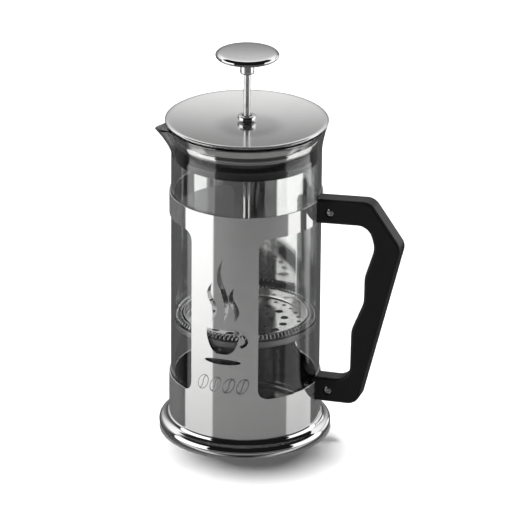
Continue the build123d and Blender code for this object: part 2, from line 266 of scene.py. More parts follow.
def wrapped(flat, radius):
    """Flat points (arc length on the sleeve, height) laid round the axis at a radius; arc
    length 0 is the middle of the front panel."""
    a = flat[:, 0] / SLEEVE_R
    return np.stack([radius * np.sin(a), -radius * np.cos(a), flat[:, 1]], 1)


def straighten_normals(piece):
    """Exact normals on round walls: every corner of a face that looks straight away from the
    Z axis, or straight to it, gets the direction from the axis through that corner."""
    mesh = piece.data
    count = len(mesh.loops)
    normals, face_normals = np.empty(count * 3), np.empty(len(mesh.polygons) * 3)
    totals, corner_ids = np.empty(len(mesh.polygons), int), np.empty(count, int)
    places = np.empty(len(mesh.vertices) * 3)
    mesh.corner_normals.foreach_get("vector", normals)
    mesh.polygons.foreach_get("normal", face_normals)
    mesh.polygons.foreach_get("loop_total", totals)
    mesh.loops.foreach_get("vertex_index", corner_ids)
    mesh.vertices.foreach_get("co", places)
    normals, face_normals = normals.reshape(-1, 3), face_normals.reshape(-1, 3)
    out = places.reshape(-1, 3)[corner_ids] * (1, 1, 0)
    out /= np.maximum(np.linalg.norm(out, axis=1, keepdims=True), 1e-9)
    facing = (np.repeat(face_normals, totals, 0) * out).sum(1)
    wall = np.abs(facing) > 0.98
    normals[wall] = out[wall] * np.sign(facing[wall])[:, None]
    mesh.normals_split_custom_set(normals)
    return piece


# Shader tools


class Wire:
    """An output socket or a number that does arithmetic: each operator adds a Math node."""

    def __init__(self, nodes, socket):
        self.nodes, self.socket = nodes, socket

    def maths(self, operation, *values):
        return self.nodes.add("ShaderNodeMath", {"operation": operation}, dict(enumerate(values)))

    def __add__(self, other):
        return self.maths("ADD", self, other)

    def __sub__(self, other):
        return self.maths("SUBTRACT", self, other)

    def __rsub__(self, other):
        return self.maths("SUBTRACT", other, self)

    def __mul__(self, other):
        return self.maths("MULTIPLY", self, other)

    def __truediv__(self, other):
        return self.maths("DIVIDE", self, other)

    def __pow__(self, other):
        return self.maths("POWER", self, other)

    __radd__, __rmul__ = __add__, __mul__

    def sine(self):
        return self.maths("SINE", self)

    def size(self):
        return self.maths("ABSOLUTE", self)

    def fraction(self):
        return self.maths("FRACT", self)

    def least(self, other):
        return self.maths("MINIMUM", self, other)

    def rise(self, start, end):
        """0 before start, 1 after end, and an S-shaped rise between them."""
        settings = {"interpolation_type": "SMOOTHSTEP"}
        values = {"Value": self, "From Min": start, "From Max": end}
        return self.nodes.add("ShaderNodeMapRange", settings, values)

    def between(self, start, end, soft):
        """1 between start and end, fading over a soft width on each side."""
        return self.rise(start - soft, start + soft) * (1 - self.rise(end - soft, end + soft))


class Nodes:
    """The node tree of one finish or of the world, filled by add()."""

    def __init__(self, owner):
        owner.use_nodes = True
        self.tree = owner.node_tree
        self.tree.nodes.clear()

    def add(self, kind, settings=None, inputs=None, output=0):
        """New node: its settings first, then each input's value or link. Returns one output."""
        node = self.tree.nodes.new(kind)
        for name, value in (settings or {}).items():
            setattr(node, name, value)
        for name, value in (inputs or {}).items():
            if isinstance(value, Wire):
                self.tree.links.new(value.socket, node.inputs[name])
            else:
                node.inputs[name].default_value = value
        return Wire(self, node.outputs[output]) if len(node.outputs) else None

    def place(self):
        """Where the point is in the part's frame, in metres."""
        return self.add("ShaderNodeTexCoord", output="Object")

    def stretched(self, scale):
        """The place stretched along X, Y and Z."""
        return self.add("ShaderNodeMapping", None, {"Vector": self.place(), "Scale": scale})

    def split(self, vector):
        """The three coordinates of a vector."""
        node = self.tree.nodes.new("ShaderNodeSeparateXYZ")
        self.tree.links.new(vector.socket, node.inputs[0])
        return [Wire(self, out) for out in node.outputs]

    def joined(self, x, y, z):
        """Vector of three coordinates."""
        return self.add("ShaderNodeCombineXYZ", None, {0: x, 1: y, 2: z})

    def angle(self, over, along):
        """Angle in radians whose tangent is over / along."""
        return self.add("ShaderNodeMath", {"operation": "ARCTAN2"}, {0: over, 1: along})

    def noise(self, scale, detail=2.0, vector=None, roughness=0.5):
        """Soft noise from 0 to 1, scale in features per metre."""
        values = {"Vector": vector or self.place(), "Scale": scale, "Detail": detail,
                  "Roughness": roughness}
        return self.add("ShaderNodeTexNoise", None, values)

    def mixed(self, factor, first, second):
        """Colour between two colours."""
        values = {0: factor, 6: first, 7: second}
        return self.add("ShaderNodeMix", {"data_type": "RGBA"}, values, output=2)

    def bump(self, height, depth):
        """Normal of a relief: height from 0 to 1, depth in metres."""
        values = {"Height": height, "Distance": depth, "Strength": 1.0}
        return self.add("ShaderNodeBump", None, values)

    def principled(self, **sockets):
        """Principled surface; base_color means Base Color."""
        named = {k.replace("_", " ").title().replace("Ior", "IOR"): v for k, v in sockets.items()}
        return self.add("ShaderNodeBsdfPrincipled", None, named)

    def hazed_mirror(self, tone, roughness, relief, share):
        """A mirror of one tone with a share of pale haze of the same tone over it."""
        mirror = self.principled(base_color=tone, metallic=1.0, roughness=roughness, normal=relief)
        haze = self.principled(base_color=tone, roughness=0.6, specular_ior_level=0.2, normal=relief)
        self.output(self.add("ShaderNodeMixShader", None, {0: share, 1: mirror, 2: haze}))

    def output(self, surface, kind="ShaderNodeOutputMaterial"):
        """The surface, shown."""
        self.add(kind, None, {"Surface": surface})


def new_finish(name):
    """Empty material and its node tree."""
    material = bpy.data.materials.new(name)
    return material, Nodes(material)


def grey(level, warm=0.0):
    """Near-neutral colour, a little warmer than grey."""
    return (level * (1 + warm), level, level * (1 - warm), 1.0)


# Finishes


def smears(n):
    """Faint cloudy handling marks, 0 to 1."""
    return n.noise(55, 4.0).rise(0.35, 0.75)


def etched_frieze(n):
    """Row of plain roasted beans etched on the front panel: the outline of a tilted oval,
    where (u/a)^2 + (v/b)^2 is near 1, and a groove that makes an S about its long axis."""
    x, y, z = n.split(n.place())
    arc = n.angle(x, y * -1) * SLEEVE_R
    level, pitch, lean, long_half, short_half = 46.6, 8.6, radians(62), 5.6, 3.3
    u = ((arc / pitch).fraction() - 0.5) * pitch
    v = z * (1 / MM) - level
    along = u * cos(lean) + v * sin(lean)
    across = v * cos(lean) - u * sin(lean)
    oval = (along / long_half) ** 2 + (across / short_half) ** 2
    groove = 1 - (across - (along * (pi / long_half)).sine() * 0.6).size().rise(0.1, 0.4)
    line = oval.between(0.80, 1.0, 0.06) + groove * (1 - oval.rise(0.75, 0.9))
    return line.least(1.0) * (1 - arc.size().rise(2 * pitch - 0.1, 2 * pitch))


def brushed_sleeve():
    """Sleeve steel: a mirror under the pale haze of fine lines that run round the sleeve; its
    inner side is left bright."""
    finish, n = new_finish("sleeve_steel")
    x, y, _ = n.split(n.place())
    outside = ((x * x + y * y) ** 0.5).rise((SLEEVE_R - 0.45) * MM, (SLEEVE_R - 0.25) * MM)
    lines = n.noise(60, 3.0, n.stretched((1, 1, 55)), 0.6)
    frieze = etched_frieze(n) * outside
    paler = lines.rise(0.3, 0.75) * 0.5 + smears(n) * 0.2
    tone = n.mixed(frieze * 0.8, n.mixed(paler, grey(0.62, 0.004), grey(0.70, 0.006)), grey(0.12))
    relief = n.bump(lines * 0.06 - frieze * 0.9, 0.00004)
    roughness = lines * 0.05 + 0.05 + frieze * 0.05
    n.hazed_mirror(tone, roughness, relief, (lines * 0.1 + 0.07) * outside + 0.02)
    return finish


def chrome():
    """Bright chrome: near mirror, with faint smears and hairlines."""
    finish, n = new_finish("chrome")
    hair = n.noise(420, 2.0, n.stretched((1, 1, 0.15)))
    marks = smears(n)
    tone = n.mixed(marks, grey(0.78, -0.004), grey(0.72, 0.004))
    n.output(n.principled(base_color=tone, metallic=1.0, roughness=marks * 0.04 + hair * 0.03 + 0.02,
                          normal=n.bump(hair, 0.0000015)))
    return finish


def drawn_rod():
    """Rod steel: a mirror under a thin haze of fine lines along the rod."""
    finish, n = new_finish("rod_steel")
    lines = n.noise(900, 2.0, n.stretched((1, 1, 0.02)))
    tone = n.mixed(smears(n), grey(0.70, 0.002), grey(0.62, 0.004))
    n.hazed_mirror(tone, lines * 0.06 + 0.04, n.bump(lines, 0.000003), lines * 0.1 + 0.2)
    return finish


def polished_steel():
    """Polished sheet of the lid's cone, a shade darker than chrome."""
    finish, n = new_finish("polished_steel")
    marks = smears(n)
    lines = n.noise(90, 2.0, n.stretched((1, 1, 30)))
    tone = n.mixed(marks, grey(0.64, 0.006), grey(0.55, 0.012))
    n.output(n.principled(base_color=tone, metallic=1.0, roughness=marks * 0.04 + lines * 0.05 + 0.03,
                          normal=n.bump(lines, 0.000002)))
    return finish


def buffed_lid():
    """Lid steel: fine rings from circular buffing about the axis, and faint smears."""
    finish, n = new_finish("lid_steel")
    x, y, _ = n.split(n.place())
    radius = (x * x + y * y) ** 0.5
    rings = n.noise(1500, 2.0, n.joined(radius, 0.0, 0.0), 0.6)
    marks = smears(n)
    tone = n.mixed(rings.rise(0.3, 0.7) * 0.6 + marks * 0.3, grey(0.72, 0.004), grey(0.66, 0.006))
    n.hazed_mirror(tone, rings * 0.07 + marks * 0.03 + 0.09, n.bump(rings, 0.0000012), 0.09)
    return finish


def satin_steel():
    """Plain satin sheet and turned parts: soft grain, duller in patches."""
    finish, n = new_finish("satin_steel")
    grain = n.noise(900, 3.0, n.stretched((1, 1, 4)))
    patches = n.noise(70, 3.0)
    tone = n.mixed(patches, grey(0.62, 0.004), grey(0.52, 0.008))
    n.output(n.principled(base_color=tone, metallic=1.0, roughness=grain * 0.15 + patches * 0.08 + 0.22,
                          normal=n.bump(grain, 0.000006)))
    return finish


def filter_steel():
    """Stamped filter plate: bright, slightly rolled surface with fine grain."""
    finish, n = new_finish("filter_steel")
    grain = n.noise(500, 3.0, n.stretched((1, 5, 1)))
    rolls = n.noise(45, 2.0)
    tone = n.mixed(rolls, grey(0.74, 0.004), grey(0.6, 0.006))
    n.output(n.principled(base_color=tone, metallic=1.0, roughness=grain * 0.1 + rolls * 0.06 + 0.12,
                          normal=n.bump(grain * 0.3 + rolls, 0.00002)))
    return finish


def woven_mesh():
    """Fine plain weave: the height is the product of two waves, along x and y on the disc and
    round and up on the turned-up wall. The low parts between the wires are painted dark, as painted
    shade."""
    finish, n = new_finish("woven_mesh")
    x, y, z = n.split(n.place())
    pitch = 0.62 * MM
    turn = n.angle(x, y)
    wall = ((x * x + y * y) ** 0.5).rise((FILTER_R - 0.7) * MM, (FILTER_R - 0.5) * MM)
    first = x * (1 - wall) + turn * (FILTER_R * MM) * wall
    second = y * (1 - wall) + z * wall
    weave = (first * (tau / pitch)).sine() * (second * (tau / pitch)).sine() * 0.5 + 0.5
    # painted shade: the colour darkens where the weave is low, between the wires
    tone = n.mixed(weave.rise(0.25, 0.6), grey(0.10), grey(0.55, 0.01))
    n.output(n.principled(base_color=tone, metallic=1.0, roughness=weave * -0.12 + 0.42,
                          normal=n.bump(weave, 0.0001)))
    return finish


def moulded_black():
    """Handle plastic: black, fine moulded grain, a soft sheen that varies a little where the
    hand rubs it smooth."""
    finish, n = new_finish("handle_plastic")
    grain = n.noise(2400, 2.0)
    rub = n.noise(38, 3.0)
    tone = n.mixed(rub, (0.0040, 0.0040, 0.0043, 1), (0.0065, 0.0065, 0.0068, 1))
    n.output(n.principled(base_color=tone, roughness=0.42 - rub.rise(0.4, 0.7) * 0.08 - grain * 0.06,
                          specular_ior_level=0.35, normal=n.bump(grain, 0.00003)))
    return finish


def glossy_black():
    """Splash ring: smooth black plastic with a wet gloss and a few dull smears."""
    finish, n = new_finish("ring_plastic")
    marks = smears(n)
    tone = n.mixed(marks, (0.007, 0.007, 0.006, 1), (0.012, 0.011, 0.010, 1))
    n.output(n.principled(base_color=tone, roughness=marks * 0.08 + 0.06, specular_ior_level=0.6,
                          normal=n.bump(n.noise(300), 0.000003)))
    return finish


def silicone():
    """Cushion: grey silicone, dull, with a light bloom of dust."""
    finish, n = new_finish("cushion_silicone")
    bloom = n.noise(160, 4.0)
    tone = n.mixed(bloom, grey(0.34), grey(0.44))
    n.output(n.principled(base_color=tone, roughness=bloom * 0.15 + 0.6,
                          normal=n.bump(bloom, 0.00004)))
    return finish


def nylon():
    """Bush: natural nylon with turning marks."""
    finish, n = new_finish("bush_nylon")
    turning = n.noise(900, 2.0, n.stretched((0.2, 0.2, 3)))
    tone = n.mixed(turning, (0.72, 0.70, 0.64, 1), (0.80, 0.78, 0.73, 1))
    n.output(n.principled(base_color=tone, roughness=turning * 0.1 + 0.4,
                          normal=n.bump(turning, 0.00001)))
    return finish


def clear_glass():
    """Blown borosilicate: colourless, with long shallow draw lines."""
    finish, n = new_finish("beaker_glass")
    draw = n.noise(26, 2.0, n.stretched((1, 1, 0.35)))
    tone = n.mixed(draw, (0.955, 0.965, 0.96, 1), (0.975, 0.98, 0.975, 1))
    n.output(n.principled(base_color=tone, roughness=draw * 0.004, ior=1.47, transmission_weight=1.0,
                          normal=n.bump(draw, 0.00006)))
    return finish


SLEEVE, CHROME, ROD = brushed_sleeve(), chrome(), drawn_rod()
STEEL, LID, SATIN = polished_steel(), buffed_lid(), satin_steel()
FILTER, MESH, GLASS = filter_steel(), woven_mesh(), clear_glass()
PLASTIC, GLOSS, SILICONE, NYLON = moulded_black(), glossy_black(), silicone(), nylon()


# Frame


def wisp(x, low, high, sway):
    """Outline of one wisp of steam. At the share t of its height its middle is
    x + sway * sin(whole turn * t), and its half width is 1.9 * sin(half turn * t)."""
    t = np.linspace(0, 1, 22)
    middle, half = x + sway * np.sin(tau * t), 1.9 * np.sin(pi * t)
    height = low + (high - low) * t
    right = np.stack([middle + half, height], 1)
    left = np.stack([middle - half, height], 1)
    return np.concatenate([right, left[-2:0:-1]])


def cup_loops():
    """Pierced motif: cup, its ear, saucer and three wisps, as loops on the front's plane."""
    side = curve([(10.5, 83.5), (10.1, 78.0), (8.7, 73.3), (6.6, 69.6), (3.6, 67.4)])
    bowl = np.concatenate([side[::-1], side[:1] * (-1, 1), side[1:] * (-1, 1)])
    a = np.linspace(-1.88, 1.88, 20)
    arc = np.stack([np.cos(a), np.sin(a)], 1)
    ear_centre, ear_out, ear_in, ear_start = (11.2, 76.8), 4.6, 2.7, 10.78
    ear = np.concatenate([ear_out * arc, ear_in * arc[::-1]]) + ear_centre
    ear = ear[ear[:, 0] > ear_start]
    saucer = circle((0, 0), 1, 40) * (11.8, 1.9) + (0, 62.3)
    steam = [wisp(-7.0, 89, 114, 1.9), wisp(0.2, 88, 131, 2.6), wisp(7.2, 89, 112, 1.9)]
    return [bowl, ear, saucer] + steam


def window_loop(side):
    """Rounded rectangle between the panels, in (arc length, height), on one side."""
    near, far = PANEL_HALF * SLEEVE_R, (pi - PANEL_HALF) * SLEEVE_R
    low, high = WINDOW
    middle = (near + far) / 2
    corners = [(middle, low), (far, low), (far, high), (near, high), (near, low), (middle, low)]
    loop = rounded(corners, [WINDOW_CORNER] * 4, 9)[:-1]
    return subdivide(loop, 1.6) * (side, 1)


def sleeve():
    """Sheet of the sleeve: the unrolled sheet less its windows and motif, wrapped at the
    outer and the inner radius, with a strip across the thickness along every cut edge."""
    half = pi * SLEEVE_R
    low, high = SLEEVE_LOW, SLEEVE_TOP
    border = np.array([(-half, low), (half, low), (half, high), (-half, high)])
    border = subdivide(border, half / 90)
    motif = [np.stack([np.arcsin(p[:, 0] / SLEEVE_R) * SLEEVE_R, p[:, 1]], 1) for p in cup_loops()]
    loops = [border, window_loop(1), window_loop(-1)] + [subdivide(p, 0.8) for p in motif]
    arcs = np.arange(-89, 90) * half / 90
    heights = np.linspace(low, high, 22)[1:-1]
    mesh_points = np.stack([g.ravel() for g in np.meshgrid(arcs, heights)], 1)
    flat, triangles = sheet_fill(loops, mesh_points, stretch=4.0)
    outer, inner = wrapped(flat, SLEEVE_R), wrapped(flat, SLEEVE_R - SLEEVE_WALL)
    count = len(flat)
    cut = open_edges(triangles)
    seam = (np.abs(np.abs(flat[cut, 0]) - half) < 1e-3).all(1)
    cut = cut[~seam]
    strips = np.concatenate([cut, cut[:, ::-1] + count], 1)
    faces = [triangles, triangles[:, ::-1] + count, strips]
    piece = put("sleeve_shell", np.concatenate([outer, inner]), faces, "frame",
                SLEEVE, ["frame_sleeve"], face_out=True)
    return straighten_normals(piece)


def foot():
    """Flared foot: bead, hollow, a shoulder that is nearly a quarter of an ellipse, and a wall
    that draws in to the table."""
    out, up, level = 2.4, 3.0, 4.3
    edge = FOOT_R - out
    hollow = curve([(SLEEVE_R, FOOT_TOP), (48.1, FOOT_TOP - 0.12), (48.6, FOOT_TOP - 0.6),
                    (49.1, 8.75), (49.8, 8.05), (50.6, 7.6), (edge, 7.35)])
    t = np.linspace(pi / 2 - 0.25, 0, 16)
    bulge = np.stack([edge + out * np.cos(t), level + up * np.sin(t)], 1)
    wall = curve([(FOOT_R - 0.05, 3.7), (FOOT_R - 0.25, 3.0), (52.8, 1.7), (51.9, 0.3)], 5)
    under = [(51.2, FOOT_LOW), (SLEEVE_R, FOOT_LOW + 1.2)]
    outline = np.concatenate([under[:1], wall[::-1], bulge[::-1], hollow[-2::-1], under[1:]])
    return lathe("foot_flare", outline, "frame", CHROME, ["foot_ring"], 256)


def bottom_plate():
    """Stamped bottom with a turned-up edge."""
    r, top, sheet = SLEEVE_R - SLEEVE_WALL, 6.5, 0.8
    corners = [(0, 0), (r, 0), (r, top), (r - sheet, top), (r - sheet, sheet), (0, sheet)]
    outline = rounded(corners, [3, 0, 0, 2.2], 8)
    return lathe("bottom_plate", outline, "frame", SATIN, ["base_plate"], closed=False)


def cushion():
    """Soft ring under the glass with rounded edges."""
    low, high = CUSHION_LOW, CUSHION_TOP
    inner, outer = 26.0, CUSHION_R
    middle = (inner + outer) / 2
    corners = [(middle, low), (outer, low), (outer, high), (inner, high), (inner, low), (middle, low)]
    outline = rounded(corners, [0.8] * 4, 5)[:-1]
    return lathe("cushion_ring", outline, "cushion", SILICONE, ["beaker_cushion"], 96)


def handle():
    """Slab with rounded edges. Its side view is a chain of rounded runs; the edge section is
    inset = e (1 - sin t), half width = h - e + e cos t for t from 0 to a quarter turn, and
    the ends stop on the sleeve, where x^2 + y^2 is its radius squared."""
    start, edge, hole_steps = 46, 1.8, 32
    outer = [(start, 25.2), (74.6, 25.8), (101.2, 133.8), (81.2, 162.0), (start, 160.1)]
    inner = [(start, 144.2), (80.0, 145.9), (84.1, 132.0), (77.8, 112.0), (77.6, 95.0),
             (69.8, 75.5), (69.3, 41.5), (start, 41.2)]
    loop = np.concatenate([rounded(outer, [9, 8, 9], 12), rounded(inner, [9, 14, 18, 16, 18, 9.5], 12)])
    loop = subdivide(loop, 3.0)
    ahead = np.roll(loop, -1, 0) - loop
    ahead /= np.linalg.norm(ahead, axis=1, keepdims=True)
    ahead = ahead + np.roll(ahead, 1, 0)
    ahead /= np.linalg.norm(ahead, axis=1, keepdims=True)
    inward = np.stack([-ahead[:, 1], ahead[:, 0]], 1)
    inward[np.abs(loop[:, 0] - start) < 0.01, 0] = 0
    t = np.linspace(0, pi / 2, 8)
    inset = edge * (1 - np.sin(t))
    across = HANDLE_HALF - edge + edge * np.cos(t)
    rows = [(i, -w) for i, w in zip(inset, across)] + [(i, w) for i, w in zip(inset, across)][::-1]
    rings = [np.insert(loop + inward * shift, 1, y, axis=1) for shift, y in rows]
    n = len(loop)
    faces = [grid_faces(len(rows), n, close_columns=True)]
    fills, count = [], len(rows) * n
    for side in (-1, 1):
        holes = [circle((SCREW_X, z), SCREW_HOLE_R, hole_steps) for z in SCREW_Z]
        flat, fill = sheet_fill([loop + inward * edge, *holes])
        bottoms = [np.insert(h, 1, side * (HANDLE_HALF - SCREW_HOLE_DEPTH), axis=1) for h in holes]
        rings += [np.insert(flat, 1, side * HANDLE_HALF, axis=1), *bottoms]
        fills.append(fill + count)
        for k in range(len(holes)):
            top = count + n + hole_steps * k + np.arange(hole_steps)
            low = top + len(flat) - n
            faces += [np.stack([top, np.roll(top, -1), np.roll(low, -1), low], 1), low[None]]
        count += len(flat) + hole_steps * len(holes)
    points = np.concatenate(rings)
    stop = np.sqrt(SLEEVE_R**2 - points[:, 1] ** 2)
    points[:, 0] = np.maximum(points[:, 0], stop)
    piece = put("grip_handle", points, faces + fills, "frame", PLASTIC, ["handle"],
                sharp=40, face_out=True)
    piece.visible_shadow = False  # the table stays white beside the press
    even = piece.modifiers.new("even_normals", "WEIGHTED_NORMAL")
    even.keep_sharp = True
    return piece


def screw_head(name, node, side, dome, driver_depth, slots):
    """Button heads seen from their ends: height = dome * (sqrt(1 - 0.8 (r / R)^2) - sqrt(0.2)) /
    (1 - sqrt(0.2)) less the driver's recess, which is a soft-edged bar for each slot."""
    bar_half, bar_reach, foot_depth, rise = 0.36, 1.75, 1.75, 0.75
    r = np.linspace(0, 1, 26)[:, None] ** 0.8
    a = np.arange(96)[None] * tau / 96
    u, v = SCREW_R * r * np.cos(a), SCREW_R * r * np.sin(a)
    top = dome * (np.sqrt(1 - 0.8 * r**2) - sqrt(0.2)) / (1 - sqrt(0.2)) + 0 * a
    recess = np.zeros_like(u)
    for turn in slots:
        along, over = u * cos(turn) + v * sin(turn), v * cos(turn) - u * sin(turn)
        bar = 1 / (1 + np.exp((np.abs(over) - bar_half) / 0.05))
        recess = np.maximum(recess, bar / (1 + np.exp((np.abs(along) - bar_reach) / 0.06)))
    base = HANDLE_HALF - foot_depth
    level = np.concatenate([base + rise + top - driver_depth * recess, np.full((1, 96), base)])
    u, v = np.concatenate([u, u[-1:]]), np.concatenate([v, v[-1:]])
    heads = [np.stack([SCREW_X + u, side * level, z - side * v], 2) for z in SCREW_Z]
    faces = grid_faces(*level.shape, close_columns=True)
    foot_face = level.size - 96 + np.arange(96)[None]
    both = [faces, foot_face, faces + level.size, foot_face + level.size]
    return put(name, heads, both, "frame", CHROME, [node], sharp=50, face_out=True)


# Beaker


def flare(z):
    """How far the lip flares: 3.5 mm times the share of its height, to the power 1.5."""
    return LIP_OUT * (np.clip(z - LIP_FOOT, 0, None) / (GLASS_TOP - LIP_FOOT)) ** 1.5


def spout_lift(azimuth, z):
    """How far the spout stands out past the flared lip: the ridge, 11 mm * ((z - 183) / 20)^1.55,
    less the flare, times the square of a cosine that fades out to each side."""
    up = np.clip((z - SPOUT_FOOT) / 20, 0, None)
    ridge = SPOUT_OUT * up**1.55
    off = (azimuth - SPOUT_AZIMUTH) / (radians(8.5) + radians(3.0) * up)
    fade = np.where(np.abs(off) < 1, np.cos(off * pi / 2) ** 2, 0)
    return np.maximum(ridge - flare(z), 0) * fade


def beaker():
    """Glass: outside, rounded lip and inside in one outline from pole to pole, turned, then
    pushed out by spout_lift. The azimuths are closer together at the spout."""
    wall, floor, wall_top = GLASS_WALL, GLASS_LOW, 180.0
    z = np.linspace(LIP_FOOT, GLASS_TOP - 0.9, 22)
    corner_out = [(0, floor), (GLASS_R, floor), (GLASS_R, wall_top)]
    corner_in = [(GLASS_R - wall, wall_top), (GLASS_R - wall, floor + wall), (0, floor + wall)]
    outside = np.stack([GLASS_R + flare(z), z], 1)
    a = np.linspace(0, pi, 9)[1:-1]
    lip_centre = (GLASS_R + LIP_OUT - wall / 2, GLASS_TOP - wall / 2)
    lip = lip_centre + wall / 2 * np.stack([np.cos(a), np.sin(a)], 1)
    body = subdivide(np.array([(GLASS_R, wall_top), (GLASS_R, LIP_FOOT)]), 0.8, closed=False)
    outline = np.concatenate([rounded(corner_out, [6.0], 12), body[1:-1], outside, lip,
                              outside[::-1] - (wall, 0), (body - (wall, 0))[-2:0:-1],
                              rounded(corner_in, [4.2], 12)])
    even = np.linspace(-pi, pi, 240, endpoint=False)
    even = even[np.abs(even - SPOUT_AZIMUTH) > radians(13.5)]
    dense = SPOUT_AZIMUTH + radians(13) * np.linspace(-1, 1, 80)
    azimuth = np.sort(np.concatenate([even, dense]))
    r, z = outline[:, :1], outline[:, 1:]
    points = turned(np.concatenate([r + spout_lift(azimuth, z), z], 1), azimuth)
    faces = grid_faces(len(outline), len(azimuth), close_columns=True)
    return put("beaker_glass", points, faces, "beaker", GLASS, ["glass_beaker"],
               face_out=True)


# Lid


def dish(r):
    """Height of the lid's top: it rises with the square of the radius."""
    return LID_CENTRE + (LID_RIM - LID_CENTRE) * (r / (LID_R - 1)) ** 2


def lid_dish():
    """Dished plate whose rim rolls over gently to a thin edge."""
    bore = 3.6
    r = np.linspace(bore, LID_R - 3, 40)
    top = np.stack([r, dish(r)], 1)
    roll = [(2.2, 0.12), (1.3, 0.14), (0.5, 0.36), (0, 0.85), (0.3, 1.25), (1.3, 1.2)]
    rim = curve((LID_R, LID_RIM) - np.array(roll), 6)
    under = np.stack([r, dish(r) - LID_SHEET], 1)
    outline = np.concatenate([top, rim, under[::-1]])[::-1]
    return lathe("lid_dish", outline, "lid", LID, ["lid_plate"], 256)


def slotted(name, outer, inner, slot_low, slot_high, finish, node):
    """Thin turned shell with the nine pouring slots: an outside and an inside outline turned
    about Z on a grid that has a column edge at each side of a slot and a row edge at its two
    ends. The cells of the slots are left out, and open edges get a strip across the sheet. The
    middle slot faces the spout."""
    slots = SPOUT_AZIMUTH + SLOT_STEP * np.arange(-4, 5)
    half = SLOT_HALF / RING_R
    edges = np.concatenate([slots - half, slots + half])
    rest = np.linspace(-pi, pi, 216, endpoint=False)
    rest = rest[np.abs(rest[:, None] - edges[None]).min(1) > radians(0.35)]
    azimuth = np.sort(np.concatenate([rest, edges]))
    middle = (azimuth + np.append(azimuth[1:], azimuth[0] + tau)) / 2
    in_slot = (np.abs(middle[:, None] - slots[None]) < half).any(1)
    tall = (np.minimum(outer[:-1, 1], outer[1:, 1]) > slot_low - 0.01) & (
        np.maximum(outer[:-1, 1], outer[1:, 1]) < slot_high + 0.01)
    cells = grid_faces(len(outer), len(azimuth), close_columns=True)
    cells = cells[~(tall[:, None] & in_slot[None]).ravel()]
    count = len(outer) * len(azimuth)
    edge = open_edges(cells)
    strips = np.concatenate([edge, edge[:, ::-1] + count], 1)
    points = [turned(outer, azimuth), turned(inner, azimuth)]
    return put(name, points, [cells, cells[:, ::-1] + count, strips], "lid", finish, [node],
               face_out=True)


def lid_skirt():
    """Steel cone under the plate, with a narrow brim on the plate. Its foot has a groove and a
    rounded bead, and steps in to the tube that carries the splash ring."""
    sheet, under_dish, brim_r, tube = 0.6, 0.95, CONE_R - 8, RING_BORE - 0.05
    groove, lip, step = CONE_FOOT + 2.9, CONE_FOOT - 1.6, CONE_FOOT - 0.4
    foot = [(tube, CONE_LOW), (tube, SLOT_HIGH), (tube, step)]
    bead = curve([(RING_R + 0.03, lip), (RING_R + 0.5, lip + 0.8), (RING_R + 0.62, lip + 2.2),
                  (RING_R + 0.5, lip + 3.6), (RING_R + 0.05, groove - 0.1)], 4)
    bead = np.concatenate([[(RING_R + 0.03, step)], bead])
    cone = [(RING_R + 0.1, groove), (RING_R + 0.7, groove + 0.45), (CONE_R, 202.4),
            (CONE_R, dish(CONE_R) - under_dish), (brim_r, dish(brim_r) - under_dish)]
    outer = np.array([*foot, *bead, *cone])
    inner = outer - (sheet, 0)
    bead_rows = slice(len(foot), len(foot) + len(bead))
    inner[bead_rows, 0] = RING_R - 0.5
    inner[bead_rows, 1] = np.maximum(bead[:, 1], CONE_FOOT + 0.3)
    inner[len(foot) - 1] += (0, 0.7)
    inner[-2:, 1] -= sheet
    return slotted("lid_cone", outer, inner, CONE_LOW, SLOT_HIGH, STEEL, "lid_skirt")


def splash_ring():
    """Glossy black ring on the cone's foot, rounded below, with the pouring slots as windows."""
    t, curl_r, bevel = np.linspace(0, pi / 2, 5), 0.6, 0.3
    middle = (RING_BORE + RING_R) / 2
    curl = np.stack([RING_R - curl_r + curl_r * np.sin(t), RING_LOW + curl_r - curl_r * np.cos(t)], 1)
    wall = [(RING_R, SLOT_LOW), (RING_R, SLOT_HIGH), (RING_R, RING_TOP - bevel),
            (RING_R - bevel, RING_TOP), (middle, RING_TOP)]
    outer = np.concatenate([[(middle, RING_LOW)], curl, wall])
    inner = outer * (-1, 1) + (2 * middle, 0)
    return slotted("splash_ring_moulding", outer, inner, SLOT_LOW, SLOT_HIGH, GLOSS,
                   "splash_ring")


def collar():
    """Flattened bead: the outside bulges as half an ellipse between flat ends."""
    t, bore, out = np.linspace(-pi / 2, pi / 2, 22), 3.3, 1.1
    middle, half = (COLLAR_LOW + COLLAR_TOP) / 2, (COLLAR_TOP - COLLAR_LOW) / 2
    bulge = np.stack([COLLAR_R - out + out * np.cos(t), middle + half * np.sin(t)], 1)
    outline = np.concatenate([[(bore, COLLAR_LOW)], bulge, [(bore, COLLAR_TOP)]])
    return lathe("guide_bead", outline, "rod_guide", CHROME, ["guide_collar"], 96)


# Plunger


def rod():
    """Polished rod with its flange; the ends have small chamfers."""
    flange_low, flange_top = 72.6, 74.3
    corners = [(0, ROD_LOW), (ROD_R, ROD_LOW), (ROD_R, flange_low), (ROD_FLANGE_R, flange_low),
               (ROD_FLANGE_R, flange_top), (ROD_R, flange_top), (ROD_R, ROD_TOP), (0, ROD_TOP)]
    outline = rounded(corners, [0.4, 0, 0.3, 0.3, 0.3, 0.3], 5)
    return lathe("plunger_stem", outline, "plunger", ROD, ["plunger_rod"], 64, closed=False)


